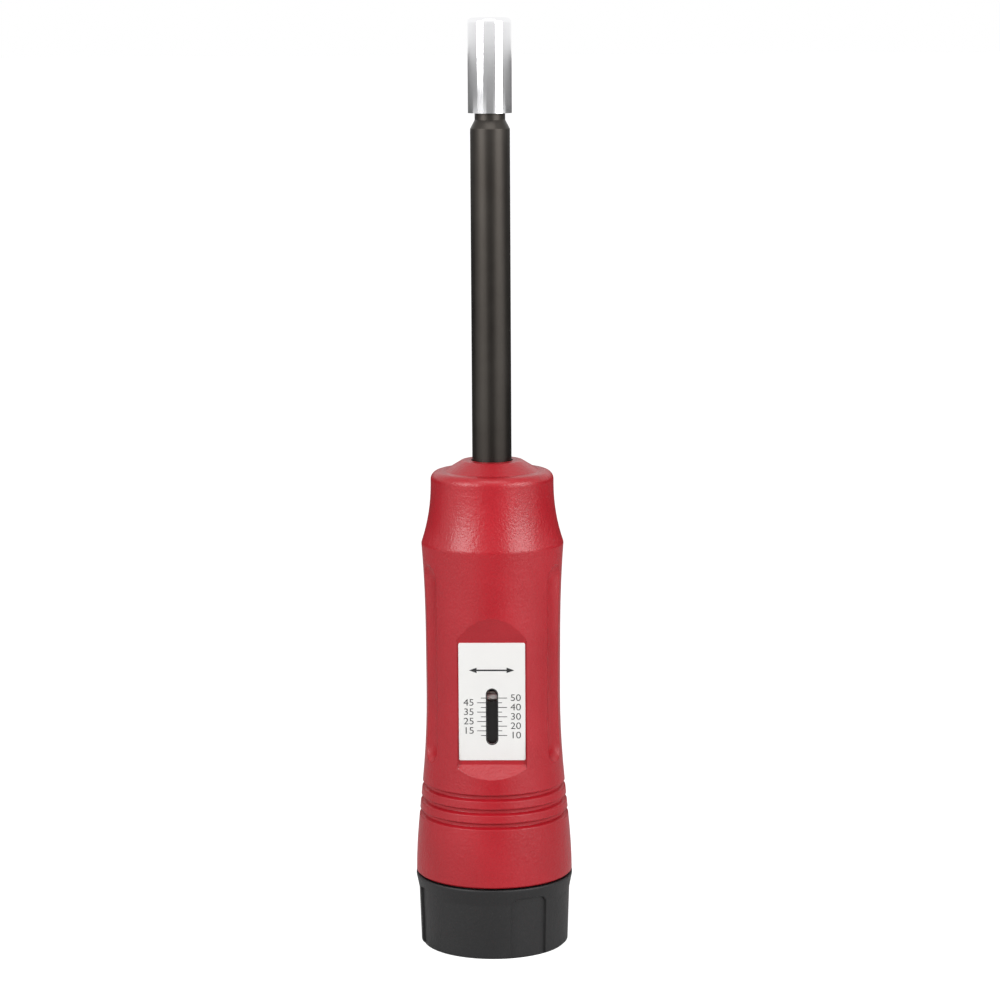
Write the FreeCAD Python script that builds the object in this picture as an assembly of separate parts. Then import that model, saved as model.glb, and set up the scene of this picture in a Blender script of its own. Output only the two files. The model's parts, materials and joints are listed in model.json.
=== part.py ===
import FreeCAD, Part
import math
import os

from FreeCAD import Vector

# Adjustable torque screwdriver with a window scale.
#
# It stands on the knob at its rear end: Z runs up along the shaft, the knob's base is at Z = 0
# and the scale faces -Y. A screw turned by the knob moves a nut along the handle. The nut loads
# a coil spring, the spring holds a notched plate against balls in a disc on the shaft, and the
# balls slip out of their notches at the set torque. The nut's pointer rests REST_STEPS marks
# below the top mark of the scale. All sizes are millimetres and degrees.

# Knob: a moulded cup that is pulled out to unlock it.
KNOB_HEIGHT = 17.5
KNOB_RIM_OVERHANG = 0.07
KNOB_WAIST_INSET = 0.7
KNOB_TAPER = 0.45
KNOB_WAIST_HEIGHT = 13.5
KNOB_RIM_BAND = 0.5
KNOB_FLOOR = 2.6
KNOB_SKIRT_WALL = 2.9
KNOB_BASE_EDGE = 0.5
KNOB_TRAVEL = 3.0
HUB_RADIUS = 6.6
RIB_COUNT = 6
RIB_THICKNESS = 1.4
RIB_TOP = 9.0
PANEL_COUNT = 4
PANEL_WIDTH = 9.5
PANEL_TOP = 15.0
PANEL_DEPTH = 0.5
PANEL_CORNER = 2.2
PANEL_AZIMUTH = 29.0

# Handle: its wall over the bore from the foot up to the neck, then the nose, with each rise
# counted from the foot.
SEAM_GAP = 0.4
FOOT_WALL = 6.43
GRIP_WALLS = ((6.02, 9.6), (4.7, 23.3), (3.73, 38.4), (3.66, 50.1), (3.92, 69.8))
COLLAR_WALL = 4.6
COLLAR_RISE = 81.8
NECK_WALL = 2.21
NECK_RISE = 96.1
SHELF_RISE = 99.35
SHELF_WIDTH = 3.4
SHOULDER_FILLET = 2.1
NOSE_RADIUS = 7.3
NOSE_RISE = 101.9
NOSE_LIP = 1.9
FOOT_EDGE = 0.35
NOSE_EDGE = 0.8
COLLAR_EDGE = 1.5

# Finger grooves round the foot, and the long straight flutes, deepest at their ends because
# the grip is narrow at its waist.
GROOVE_RISES = (15.2, 18.6, 22.0)
GROOVE_WIDTH = 1.6
GROOVE_DEPTH = 0.9
GROOVE_FLOOR = 0.7
FLUTE_AZIMUTHS = (64.5, 115.5, 244.5, 295.5)
FLUTE_BOTTOM_RISE = 28.6
FLUTE_TOP_RISE = 77.4
FLUTE_DEPTH = 1.15
FLUTE_TOOL_RADIUS = 5.2

# Scale: a flat on the handle's front, as wide as its label and a margin, and a window.
FLAT_WALL = 1.25
FLAT_MARGIN = 0.3
FLAT_BOTTOM_RISE = 29.6
FLAT_TOP_RISE = 59.8
FLAT_TOP_SLOPE = 23.0
FLAT_BOTTOM_SLOPE = 45.0
LABEL_WIDTH = 16.0
LABEL_BOTTOM_RISE = 30.7
LABEL_TOP_RISE = 59.5
LABEL_THICKNESS = 0.15
LABEL_CORNER = 0.4
WINDOW_WIDTH = 2.45
WINDOW_END = 2.1
WINDOW_RELIEF = 0.12
SCALE_TOP_RISE = 46.0
SCALE_STEP = 1.15
SCALE_STEPS = 8
REST_STEPS = 1

# Pointer nut and the spring seat on it.
CARRIER_CLEARANCE = 0.3
CARRIER_LENGTH = 17.2
POINTER_LENGTH = 13.0
POINTER_WIDTH = 2.9
POINTER_RECESS = 0.9
POINTER_ABOVE_SEAT = 0.75
KEYWAY_CLEARANCE = 0.2
SEAT_THICKNESS = 0.8
SEAT_BORE = 5.0
NUT_RADIUS = 7.5
NUT_LENGTH = 15.0
CARRIER_WALL = 2.0
NUT_FLANGE = 2.6

# Main spring.
WIRE_RADIUS = 1.5
SPRING_OUTER_RADIUS = 12.0
SPRING_CLEARANCE = 0.7
SPRING_TURNS = 5
SPRING_CLOSED_PITCH = 3.3
SPRING_GROUND = 0.45
SPRING_START_AZIMUTH = -139.0
SPRING_SEGMENTS = 24
WIRE_SIDES = 10

# Clutch: notched plate, balls and disc.
BALL_RADIUS = 2.38125
BALL_COUNT = 3
BALL_INSET = 3.4
BALL_CLEARANCE = 0.1
BALL_SEAT_ANGLE = 59.0
NOTCH_COUNT = 12
NOTCH_DEPTH = 1.05
NOTCH_ANGLE = 35.0
PLATE_THICKNESS = 6.5
PLATE_BOSS_CLEARANCE = 0.4
PLATE_BOSS = 2.5
PLATE_KEY_WIDTH = 3.4
PLATE_KEY_RISE = 0.5
PLATE_FACE_GAP = 0.35
DISC_THICKNESS = 6.2
DISC_CLEARANCE = 0.7
PIN_RADIUS = 1.0
PIN_DROP = 1.35
THRUST_THICKNESS = 1.2
RUNNING_GAP = 0.05
ASSEMBLED_GAP = 0.02

# Shaft, its bush and the bit sleeve.
SHAFT_RADIUS = 4.7625
SHAFT_LENGTH = 79.6
SHAFT_CONE = 2.1
SPIGOT_RADIUS = 4.0
SPIGOT_BELOW_PLATE = 2.0
SPIGOT_CLEARANCE = 0.3
NECK_JOURNAL_RADIUS = 3.66
NECK_LENGTH = 1.6
NOSE_CLEARANCE = 0.3
BUSH_RADIUS = 7.0
BUSH_LENGTH = 18.6
BUSH_CLEARANCE = 0.06
SLEEVE_RADIUS = 5.25
SLEEVE_LENGTH = 22.5
SLEEVE_FILLET = 1.2
HEX_ACROSS_FLATS = 6.4
HEX_DEPTH = 12.0
HEX_MOUTH = 0.6
MAGNET_RADIUS = 3.0
MAGNET_THICKNESS = 2.0

# Adjusting screw in the plug that closes the handle's foot.
PLUG_FLANGE_CLEARANCE = 0.6
PLUG_FLANGE = 3.3
PLUG_SPIGOT = 8.1
PLUG_BOSS_RADIUS = 7.2
PLUG_BOSS = 0.6
SPANNER_HOLE_RADIUS = 1.0
SPANNER_HOLE_DEPTH = 2.2
SPANNER_CIRCLE = 11.0
JOURNAL_RADIUS = 4.2
JOURNAL_CLEARANCE = 0.1
SCREW_RADIUS = 4.0
THREAD_CLEARANCE = 0.3
SCREW_CHAMFER = 0.6
SCREW_BELOW_SEAT = 1.0
COLLAR_DISC_RADIUS = 8.3
COLLAR_DISC = 2.5
COLLAR_CLEARANCE = 0.5
SCREW_WASHER = 1.0
SCREW_WASHER_BORE = 4.6
PLUG_FLOOR = 2.0
CIRCLIP_THICKNESS = 1.0
CIRCLIP_RADIAL = 2.6
CIRCLIP_SEAT = 0.6
CIRCLIP_GAP = 5.0
DRIVE_ACROSS_FLATS = 6.2
DRIVE_CLEARANCE = 0.2
DRIVE_LENGTH = 8.0

# Knob's retaining screw, cover disc and lock.
HEAD_RADIUS = 4.6
HEAD_THICKNESS = 2.4
HEAD_CLEARANCE = 0.3
HEAD_STOP_GAP = 0.1
RETAINER_RADIUS = 1.5
RETAINER_LENGTH = 7.0
RETAINER_SOCKET = 2.5
RETAINER_SOCKET_DEPTH = 1.3
COVER_RADIUS = 5.8
COVER_THICKNESS = 1.5
COVER_RECESS = 0.2
LOCK_TEETH = 48
LOCK_TOOTH_DEPTH = 0.6
LOCK_RING_WALL = 0.7
LOCK_RING_SEAT = 0.3
LOCK_RING_HEIGHT = 3.4
LOCK_RING_BELOW_RIM = 3.3
LEAF_THICKNESS = 0.5
LEAF_ROOM = 2.0
LEAF_HEIGHT = 2.6
LEAF_SPAN = 100.0
LEAF_TIP_AZIMUTH = 30.0
LEAF_TIP_WIDTH = 2.4
LEAF_TIP_CLEARANCE = 0.2
LEAF_FOOT_WIDTH = 5.0
LEAF_FOOT_INNER = 8.2
LEAF_SCREW_HEAD = 1.7
LEAF_SCREW_HEAD_HEIGHT = 1.2
LEAF_SCREW_RADIUS = 0.95
LEAF_SCREW_DEPTH = 2.6
SLOT_WIDTH = 0.5
SLOT_DEPTH = 0.5

# Heights and radii that follow from the sizes above.
BORE_RADIUS = SPRING_OUTER_RADIUS + SPRING_CLEARANCE
FOOT_RADIUS = BORE_RADIUS + FOOT_WALL
COLLAR_RADIUS = BORE_RADIUS + COLLAR_WALL
NECK_RADIUS = BORE_RADIUS + NECK_WALL
SHELF_INNER_RADIUS = NECK_RADIUS - SHELF_WIDTH
FLAT_DISTANCE = BORE_RADIUS + FLAT_WALL
POINTER_REACH = FLAT_DISTANCE - POINTER_RECESS
PLATE_KEY_REACH = BORE_RADIUS + PLATE_KEY_RISE
PLATE_BOSS_RADIUS = SPRING_OUTER_RADIUS - 2 * WIRE_RADIUS - PLATE_BOSS_CLEARANCE
BALL_CIRCLE = SPRING_OUTER_RADIUS - BALL_INSET
KNOB_RIM_RADIUS = FOOT_RADIUS + KNOB_RIM_OVERHANG
KNOB_WAIST_RADIUS = KNOB_RIM_RADIUS - KNOB_WAIST_INSET
KNOB_BASE_RADIUS = KNOB_WAIST_RADIUS - KNOB_TAPER
FOOT = KNOB_HEIGHT + SEAM_GAP
NOSE_TOP = FOOT + NOSE_RISE
BUSH_TOP = NOSE_TOP - NOSE_LIP
CHAMBER_TOP = BUSH_TOP - BUSH_LENGTH
DISC_TOP = CHAMBER_TOP - THRUST_THICKNESS - RUNNING_GAP
DISC_BOTTOM = DISC_TOP - DISC_THICKNESS
PLATE_TOP = DISC_BOTTOM - PLATE_FACE_GAP
PLATE_BOTTOM = PLATE_TOP - PLATE_THICKNESS
PLATE_BOSS_BOTTOM = PLATE_BOTTOM - PLATE_BOSS
BALL_HEIGHT = PLATE_TOP - NOTCH_DEPTH + BALL_RADIUS
SHAFT_CONE_TOP = NOSE_TOP + SHAFT_LENGTH + SHAFT_CONE
SLEEVE_BOTTOM = SHAFT_CONE_TOP + NECK_LENGTH
SLEEVE_TOP = SLEEVE_BOTTOM + SLEEVE_LENGTH
HEX_FLOOR = SLEEVE_TOP - HEX_DEPTH
MAGNET_FLOOR = HEX_FLOOR - MAGNET_THICKNESS
SCALE_TOP = FOOT + SCALE_TOP_RISE
SCALE_BOTTOM = SCALE_TOP - SCALE_STEPS * SCALE_STEP
WINDOW_TOP = SCALE_TOP + WINDOW_END
WINDOW_BOTTOM = SCALE_BOTTOM - WINDOW_END
POINTER_TOP = SCALE_TOP - REST_STEPS * SCALE_STEP
SEAT_TOP = POINTER_TOP - POINTER_ABOVE_SEAT
CARRIER_TOP = SEAT_TOP - SEAT_THICKNESS
CARRIER_BOTTOM = CARRIER_TOP - CARRIER_LENGTH
CARRIER_RADIUS = BORE_RADIUS - CARRIER_CLEARANCE
NUT_FLANGE_RADIUS = CARRIER_RADIUS - CARRIER_WALL
KEYWAY_RADIUS = POINTER_REACH + KEYWAY_CLEARANCE
KEYWAY_WIDTH = POINTER_WIDTH + 2 * KEYWAY_CLEARANCE
SIDE_KEYWAY_RADIUS = PLATE_KEY_REACH + CARRIER_CLEARANCE
SIDE_KEYWAY_WIDTH = PLATE_KEY_WIDTH + 2 * KEYWAY_CLEARANCE
PLUG_BOTTOM = FOOT - PLUG_FLANGE
PLUG_FACE = PLUG_BOTTOM - PLUG_BOSS
PLUG_WELL = FOOT + PLUG_FLOOR
COLLAR_BOTTOM = PLUG_WELL + SCREW_WASHER + RUNNING_GAP
COLLAR_TOP = COLLAR_BOTTOM + COLLAR_DISC
WELL_RADIUS = COLLAR_DISC_RADIUS + COLLAR_CLEARANCE
CIRCLIP_BOTTOM = COLLAR_TOP + 3 * RUNNING_GAP
SCREW_TOP = SEAT_TOP - SCREW_BELOW_SEAT
SCREW_END = PLUG_FACE - DRIVE_LENGTH
HUB_TOP = PLUG_FACE - RUNNING_GAP
HEAD_BOTTOM = SCREW_END - HEAD_THICKNESS
HUB_LEDGE = SCREW_END + KNOB_TRAVEL + HEAD_STOP_GAP
HEAD_WELL_RADIUS = HEAD_RADIUS + HEAD_CLEARANCE
SKIRT_RADIUS = KNOB_WAIST_RADIUS - KNOB_SKIRT_WALL
PLUG_FLANGE_RADIUS = SKIRT_RADIUS - PLUG_FLANGE_CLEARANCE
LOCK_SEAT_RADIUS = SKIRT_RADIUS + LOCK_RING_SEAT
LOCK_ROOT_RADIUS = LOCK_SEAT_RADIUS - LOCK_RING_WALL
LEAF_RADIUS = LOCK_ROOT_RADIUS - LOCK_TOOTH_DEPTH - LEAF_ROOM
LOCK_RING_TOP = KNOB_HEIGHT - LOCK_RING_BELOW_RIM
LOCK_RING_BOTTOM = LOCK_RING_TOP - LOCK_RING_HEIGHT
LEAF_FOOT_BOTTOM = PLUG_BOTTOM - PLUG_BOSS
LEAF_BOTTOM = LEAF_FOOT_BOTTOM - LEAF_HEIGHT


def put(shape, reach=0.0, turn=0.0):
    """A copy moved out along X and then turned about Z."""
    copy = shape.copy()
    copy.translate(Vector(reach, 0, 0))
    copy.rotate(Vector(), Vector(0, 0, 1), turn)
    return copy


def disc(radius, bottom, top):
    return Part.makeCylinder(radius, top - bottom, Vector(0, 0, bottom))


def ring(outer, inner, bottom, top):
    return disc(outer, bottom, top).cut(disc(inner, bottom, top))


def cone(bottom_radius, top_radius, bottom, top):
    return Part.makeCone(bottom_radius, top_radius, top - bottom, Vector(0, 0, bottom))


def block(x, y, bottom, top):
    """A box between the (low, high) pairs x and y."""
    size = x[1] - x[0], y[1] - y[0], top - bottom
    return Part.makeBox(*size, Vector(x[0], y[0], bottom))


def face_of(*edges):
    return Part.Face(Part.Wire(Part.__sortEdges__(list(edges))))


def polygon_face(points):
    return Part.Face(Part.makePolygon([*points, points[0]]))


def on_axis(*heights):
    return [Vector(0, 0, height) for height in heights]


def turned(face, sweep=360.0):
    """The solid that a face in the XZ plane sweeps about Z."""
    return face.revolve(Vector(), Vector(0, 0, 1), sweep)


def outline_turned(outline, sweep=360.0):
    """A solid of revolution from (radius, height) points."""
    return turned(polygon_face([Vector(radius, 0, height) for radius, height in outline]), sweep)


def hexagon(across_flats, bottom, top):
    """A hexagonal bar with corners on the X axis."""
    corner = across_flats / math.sqrt(3)
    turns = [math.radians(60 * side) for side in range(6)]
    points = [Vector(corner * math.cos(t), corner * math.sin(t), bottom) for t in turns]
    return polygon_face(points).extrude(Vector(0, 0, top - bottom))


def stadium(width, bottom, top, near, far):
    """A round-ended slot, upright in the XZ plane, from y = near to y = far."""
    radius = width / 2
    low, high = Vector(0, near, bottom + radius), Vector(0, near, top - radius)
    through = far - near
    along = Vector(0, 1, 0)
    bar = block((-radius, radius), (near, far), low.z, high.z)
    return bar.fuse([Part.makeCylinder(radius, through, end, along) for end in (low, high)])


def rounded_plate(width, bottom, top, corner, near, far):
    """A rounded rectangle, upright in the XZ plane, from y = near to y = far."""
    plate = block((-width / 2, width / 2), (near, far), bottom, top)
    corners = [edge for edge in plate.Edges if abs(edge.tangentAt(0).y) > 0.5]
    return plate.makeFillet(corner, corners)


def circles(shape, radius, height):
    """The circular edges of this radius at this height."""
    return [
        edge for edge in shape.Edges
        if hasattr(edge.Curve, "Radius")
        and abs(edge.Curve.Radius - radius) < 1e-4
        and abs(edge.Curve.Center.z - height) < 1e-4
    ]


def around(shape, count):
    """Copies of a shape, spaced evenly about Z."""
    return [put(shape, turn=360.0 * copy / count) for copy in range(count)]


def keyway(radius, width, bottom, top):
    """The tool for a keyway in the bore, on the +X side."""
    return block((0, radius), (-width / 2, width / 2), bottom, top).common(disc(radius, bottom, top))


# Handle

def grip_curve():
    """The grip's outline, in the XZ plane, from the foot to the sharp edge of the collar."""
    walls = (FOOT_WALL, 0.0), *GRIP_WALLS, (COLLAR_WALL, COLLAR_RISE)
    stations = [(BORE_RADIUS + wall, rise) for wall, rise in walls]
    curve = Part.BSplineCurve()
    curve.interpolate([Vector(radius, 0, FOOT + rise) for radius, rise in stations])
    return curve


def grip_radius(height):
    """The grip's radius at a height, by halving."""
    curve = grip_curve()
    low, high = curve.FirstParameter, curve.LastParameter
    for _ in range(40):
        middle = (low + high) / 2
        low, high = (middle, high) if curve.value(middle).z < height else (low, middle)
    return curve.value(low).x


def handle_blank():
    """The handle as turned, before anything is cut into it."""
    collar = Vector(COLLAR_RADIUS, 0, FOOT + COLLAR_RISE)
    neck = Vector(NECK_RADIUS, 0, FOOT + NECK_RISE)
    across, rise = collar.x - neck.x, neck.z - collar.z
    flare_radius = (across ** 2 + rise ** 2) / (2 * across)
    half = math.asin(rise / flare_radius) / 2
    on_flare = neck + Vector(flare_radius * (1 - math.cos(half)), 0, -flare_radius * math.sin(half))
    shoulder = Vector(NECK_RADIUS, 0, FOOT + SHELF_RISE)
    shelf = Vector(SHELF_INNER_RADIUS, 0, FOOT + SHELF_RISE)
    nose = Vector(NOSE_RADIUS, 0, NOSE_TOP)
    foot = Vector(FOOT_RADIUS, 0, FOOT)
    straight = Part.makePolygon([neck, shoulder, shelf, nose, *on_axis(NOSE_TOP, FOOT), foot])
    flare = Part.Arc(collar, on_flare, neck).toShape()
    blank = turned(face_of(grip_curve().toShape(), flare, *straight.Edges))
    blank = blank.makeFillet(SHOULDER_FILLET, circles(blank, NECK_RADIUS, shoulder.z))
    blank = blank.makeFillet(NOSE_EDGE, circles(blank, NOSE_RADIUS, NOSE_TOP))
    blank = blank.makeFillet(COLLAR_EDGE, circles(blank, COLLAR_RADIUS, collar.z))
    return blank.makeChamfer(FOOT_EDGE, circles(blank, FOOT_RADIUS, FOOT))


def flute_tool():
    """The straight round-ended tool that cuts one flute, on the +X side."""
    low, high = FOOT + FLUTE_BOTTOM_RISE, FOOT + FLUTE_TOP_RISE
    axis = grip_radius((low + high) / 2) - FLUTE_DEPTH + FLUTE_TOOL_RADIUS
    ends = []
    for tip, inward in ((low, 1), (high, -1)):
        run_out = math.sqrt(FLUTE_TOOL_RADIUS ** 2 - (axis - grip_radius(tip)) ** 2)
        ends.append(tip + inward * run_out)
    bar = put(disc(FLUTE_TOOL_RADIUS, *ends), reach=axis)
    return [bar, *(Part.makeSphere(FLUTE_TOOL_RADIUS, Vector(axis, 0, end)) for end in ends)]


def groove_tool(height):
    """A groove with sloping sides right round the grip."""
    surface = grip_radius(height)
    slope = (GROOVE_WIDTH - GROOVE_FLOOR) / 2 / GROOVE_DEPTH
    outer, floor = surface + GROOVE_DEPTH, surface - GROOVE_DEPTH
    mouth = GROOVE_WIDTH / 2 + slope * GROOVE_DEPTH
    outline = (
        (floor, height - GROOVE_FLOOR / 2), (floor, height + GROOVE_FLOOR / 2),
        (outer, height + mouth), (outer, height - mouth),
    )
    return outline_turned(outline)


def flat_tool():
    """The flat for the label, with its sloping run-outs above and below."""
    beyond = FOOT_RADIUS - FLAT_DISTANCE + SEAM_GAP
    low, high = FOOT + FLAT_BOTTOM_RISE, FOOT + FLAT_TOP_RISE
    low_end = low - beyond / math.tan(math.radians(FLAT_BOTTOM_SLOPE))
    high_end = high + beyond / math.tan(math.radians(FLAT_TOP_SLOPE))
    near, far = -FLAT_DISTANCE, -FLAT_DISTANCE - beyond
    outline = (near, low), (near, high), (far, high_end), (far, low_end)
    width = LABEL_WIDTH + 2 * FLAT_MARGIN
    side = polygon_face([Vector(-width / 2, y, height) for y, height in outline])
    return side.extrude(Vector(width, 0, 0))


def window(relief, near, far):
    return stadium(WINDOW_WIDTH + 2 * relief, WINDOW_BOTTOM - relief, WINDOW_TOP + relief, near, far)


def handle():
    tools = [
        disc(BORE_RADIUS, FOOT, CHAMBER_TOP),
        disc(BUSH_RADIUS + ASSEMBLED_GAP, CHAMBER_TOP, BUSH_TOP),
        disc(SHAFT_RADIUS + NOSE_CLEARANCE, BUSH_TOP, NOSE_TOP),
        put(keyway(KEYWAY_RADIUS, KEYWAY_WIDTH, FOOT, WINDOW_TOP), turn=-90),
        flat_tool(),
        window(WINDOW_RELIEF, -FOOT_RADIUS, WINDOW_WIDTH - BORE_RADIUS),
    ]
    side = keyway(SIDE_KEYWAY_RADIUS, SIDE_KEYWAY_WIDTH, FOOT, PLATE_TOP + KEYWAY_CLEARANCE)
    tools += around(side, 2)
    for azimuth in FLUTE_AZIMUTHS:
        tools += [put(tool, turn=azimuth - 90) for tool in flute_tool()]
    tools += [groove_tool(FOOT + rise) for rise in GROOVE_RISES]
    return handle_blank().cut(tools)


def scale_label():
    front, back = -FLAT_DISTANCE - LABEL_THICKNESS, -FLAT_DISTANCE
    low, high = FOOT + LABEL_BOTTOM_RISE, FOOT + LABEL_TOP_RISE
    plate = rounded_plate(LABEL_WIDTH, low, high, LABEL_CORNER, front, back)
    return plate.cut(window(0, front, back))


def front_bush():
    return ring(BUSH_RADIUS, SHAFT_RADIUS + BUSH_CLEARANCE, CHAMBER_TOP, BUSH_TOP)


def clutch_thrust_washer():
    outer = BORE_RADIUS - DISC_CLEARANCE
    return ring(outer, SHAFT_RADIUS + NOSE_CLEARANCE, CHAMBER_TOP - THRUST_THICKNESS, CHAMBER_TOP)


# Plug that closes the handle's foot, and the lock on it

def leaf_angle(width):
    """The angle that half of this width takes at the leaf's radius."""
    return math.degrees(width / 2 / LEAF_RADIUS)


LEAF_START = LEAF_TIP_AZIMUTH - LEAF_SPAN + leaf_angle(LEAF_TIP_WIDTH)
LEAF_FOOT_ANGLE = LEAF_START + leaf_angle(LEAF_FOOT_WIDTH)
LEAF_SCREW_REACH = (LEAF_FOOT_INNER + LEAF_RADIUS) / 2


def at_leaf_foot(shape):
    """A copy moved from the axis to the leaf screw's place."""
    return put(shape, LEAF_SCREW_REACH, LEAF_FOOT_ANGLE)


def end_plug():
    top = FOOT + PLUG_SPIGOT
    blank = outline_turned((
        (0, PLUG_FACE), (PLUG_BOSS_RADIUS, PLUG_FACE), (PLUG_BOSS_RADIUS, PLUG_BOTTOM),
        (PLUG_FLANGE_RADIUS, PLUG_BOTTOM), (PLUG_FLANGE_RADIUS, FOOT),
        (BORE_RADIUS - ASSEMBLED_GAP, FOOT), (BORE_RADIUS - ASSEMBLED_GAP, top), (0, top),
    ))
    spanner = disc(SPANNER_HOLE_RADIUS, PLUG_BOTTOM, PLUG_BOTTOM + SPANNER_HOLE_DEPTH)
    leaf_hole = disc(LEAF_SCREW_RADIUS + ASSEMBLED_GAP, PLUG_BOTTOM, PLUG_BOTTOM + LEAF_SCREW_DEPTH)
    groove = CIRCLIP_BOTTOM - ASSEMBLED_GAP, CIRCLIP_BOTTOM + CIRCLIP_THICKNESS + ASSEMBLED_GAP
    return blank.cut([
        disc(JOURNAL_RADIUS + JOURNAL_CLEARANCE, PLUG_FACE, PLUG_WELL),
        disc(WELL_RADIUS, PLUG_WELL, top),
        disc(WELL_RADIUS + CIRCLIP_SEAT, *groove),
        at_leaf_foot(leaf_hole),
        *(put(spanner, SPANNER_CIRCLE, LEAF_FOOT_ANGLE + turn) for turn in (90, 270)),
    ])


def screw_thrust_washer():
    return ring(COLLAR_DISC_RADIUS, SCREW_WASHER_BORE, PLUG_WELL, PLUG_WELL + SCREW_WASHER)


def collar_circlip():
    """A snap ring in the plug's well that keeps the screw's collar down."""
    outer = WELL_RADIUS + CIRCLIP_SEAT - ASSEMBLED_GAP
    top = CIRCLIP_BOTTOM + CIRCLIP_THICKNESS
    gap = block((0, outer), (-CIRCLIP_GAP / 2, CIRCLIP_GAP / 2), CIRCLIP_BOTTOM, top)
    return ring(outer, outer - CIRCLIP_RADIAL, CIRCLIP_BOTTOM, top).cut(gap)


def lock_spring():
    """The leaf on the plug whose tip rests between two teeth of the knob's lock ring."""
    outer = LEAF_RADIUS + LEAF_THICKNESS
    band = outline_turned((
        (LEAF_RADIUS, LEAF_BOTTOM), (outer, LEAF_BOTTOM),
        (outer, LEAF_FOOT_BOTTOM), (LEAF_RADIUS, LEAF_FOOT_BOTTOM),
    ), LEAF_SPAN)
    half_foot, half_tip = LEAF_FOOT_WIDTH / 2, LEAF_TIP_WIDTH / 2
    foot = block((LEAF_FOOT_INNER, outer), (-half_foot, half_foot), LEAF_FOOT_BOTTOM, PLUG_BOTTOM)
    root = LEAF_RADIUS + LEAF_THICKNESS / 2
    point = Vector(LOCK_ROOT_RADIUS - LEAF_TIP_CLEARANCE, 0, LEAF_BOTTOM)
    sides = [Vector(root, side, LEAF_BOTTOM) for side in (half_tip, -half_tip)]
    tip = polygon_face([point, *sides]).extrude(Vector(0, 0, LEAF_FOOT_BOTTOM - LEAF_BOTTOM))
    hole = disc(LEAF_SCREW_RADIUS + ASSEMBLED_GAP, LEAF_FOOT_BOTTOM, PLUG_BOTTOM)
    ends = put(foot, turn=LEAF_FOOT_ANGLE), put(tip, turn=LEAF_TIP_AZIMUTH)
    return put(band, turn=LEAF_START).fuse(ends).cut(at_leaf_foot(hole))


def lock_spring_screw():
    shank = disc(LEAF_SCREW_RADIUS, LEAF_FOOT_BOTTOM, PLUG_BOTTOM + LEAF_SCREW_DEPTH)
    bottom = LEAF_FOOT_BOTTOM - LEAF_SCREW_HEAD_HEIGHT
    head = disc(LEAF_SCREW_HEAD, bottom, LEAF_FOOT_BOTTOM)
    along, across = (-LEAF_SCREW_HEAD, LEAF_SCREW_HEAD), (-SLOT_WIDTH / 2, SLOT_WIDTH / 2)
    return at_leaf_foot(shank.fuse(head).cut(block(along, across, bottom, bottom + SLOT_DEPTH)))


# Shaft and clutch

def drive_pin_tool(radius, length):
    return Part.makeCylinder(radius, length, Vector(0, -length / 2, DISC_TOP - PIN_DROP), Vector(0, 1, 0))


def ball_seat():
    """The tool for one ball's drilled seat in the disc, on the +X side."""
    radius, slope = BALL_RADIUS + ASSEMBLED_GAP, math.radians(BALL_SEAT_ANGLE)
    apex = BALL_HEIGHT + radius / math.sin(slope)
    shoulder = apex - radius / math.tan(slope)
    outline = (0, DISC_BOTTOM), (radius, DISC_BOTTOM), (radius, shoulder), (0, apex)
    return put(outline_turned(outline), BALL_CIRCLE)


def ball_notch():
    """The tool for one of the plate's cone-shaped notches, on the +X side."""
    slope = math.radians(NOTCH_ANGLE)
    apex = BALL_HEIGHT - (BALL_RADIUS + BALL_CLEARANCE) / math.sin(slope)
    mouth = (PLATE_TOP - apex) * math.tan(slope)
    return put(cone(0, mouth, apex, PLATE_TOP), BALL_CIRCLE)


def shaft():
    cone_bottom = SHAFT_CONE_TOP - SHAFT_CONE
    bar = outline_turned((
        (0, PLATE_BOSS_BOTTOM - SPIGOT_BELOW_PLATE), (SPIGOT_RADIUS, PLATE_BOSS_BOTTOM - SPIGOT_BELOW_PLATE),
        (SPIGOT_RADIUS, DISC_BOTTOM), (SHAFT_RADIUS, DISC_BOTTOM), (SHAFT_RADIUS, cone_bottom),
        (NECK_JOURNAL_RADIUS, SHAFT_CONE_TOP), (NECK_JOURNAL_RADIUS, MAGNET_FLOOR), (0, MAGNET_FLOOR),
    ))
    return bar.cut(drive_pin_tool(PIN_RADIUS + ASSEMBLED_GAP, 2 * BORE_RADIUS))


def bit_sleeve():
    blank = disc(SLEEVE_RADIUS, SLEEVE_BOTTOM, SLEEVE_TOP)
    blank = blank.makeFillet(SLEEVE_FILLET, circles(blank, SLEEVE_RADIUS, SLEEVE_TOP))
    flat = HEX_ACROSS_FLATS / 2
    return blank.cut([
        disc(NECK_JOURNAL_RADIUS + ASSEMBLED_GAP, SLEEVE_BOTTOM, MAGNET_FLOOR),
        disc(MAGNET_RADIUS + ASSEMBLED_GAP, MAGNET_FLOOR, HEX_FLOOR),
        hexagon(HEX_ACROSS_FLATS, HEX_FLOOR, SLEEVE_TOP),
        cone(flat, flat + HEX_MOUTH, SLEEVE_TOP - HEX_MOUTH, SLEEVE_TOP),
    ])


def bit_magnet():
    return disc(MAGNET_RADIUS, MAGNET_FLOOR, HEX_FLOOR)


def drive_disc():
    blank = ring(BORE_RADIUS - DISC_CLEARANCE, SHAFT_RADIUS + ASSEMBLED_GAP, DISC_BOTTOM, DISC_TOP)
    pin_hole = drive_pin_tool(PIN_RADIUS + ASSEMBLED_GAP, 2 * BORE_RADIUS)
    return blank.cut([*around(ball_seat(), BALL_COUNT), pin_hole])


def drive_pin():
    return drive_pin_tool(PIN_RADIUS, 2 * (BORE_RADIUS - 2 * DISC_CLEARANCE))


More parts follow.
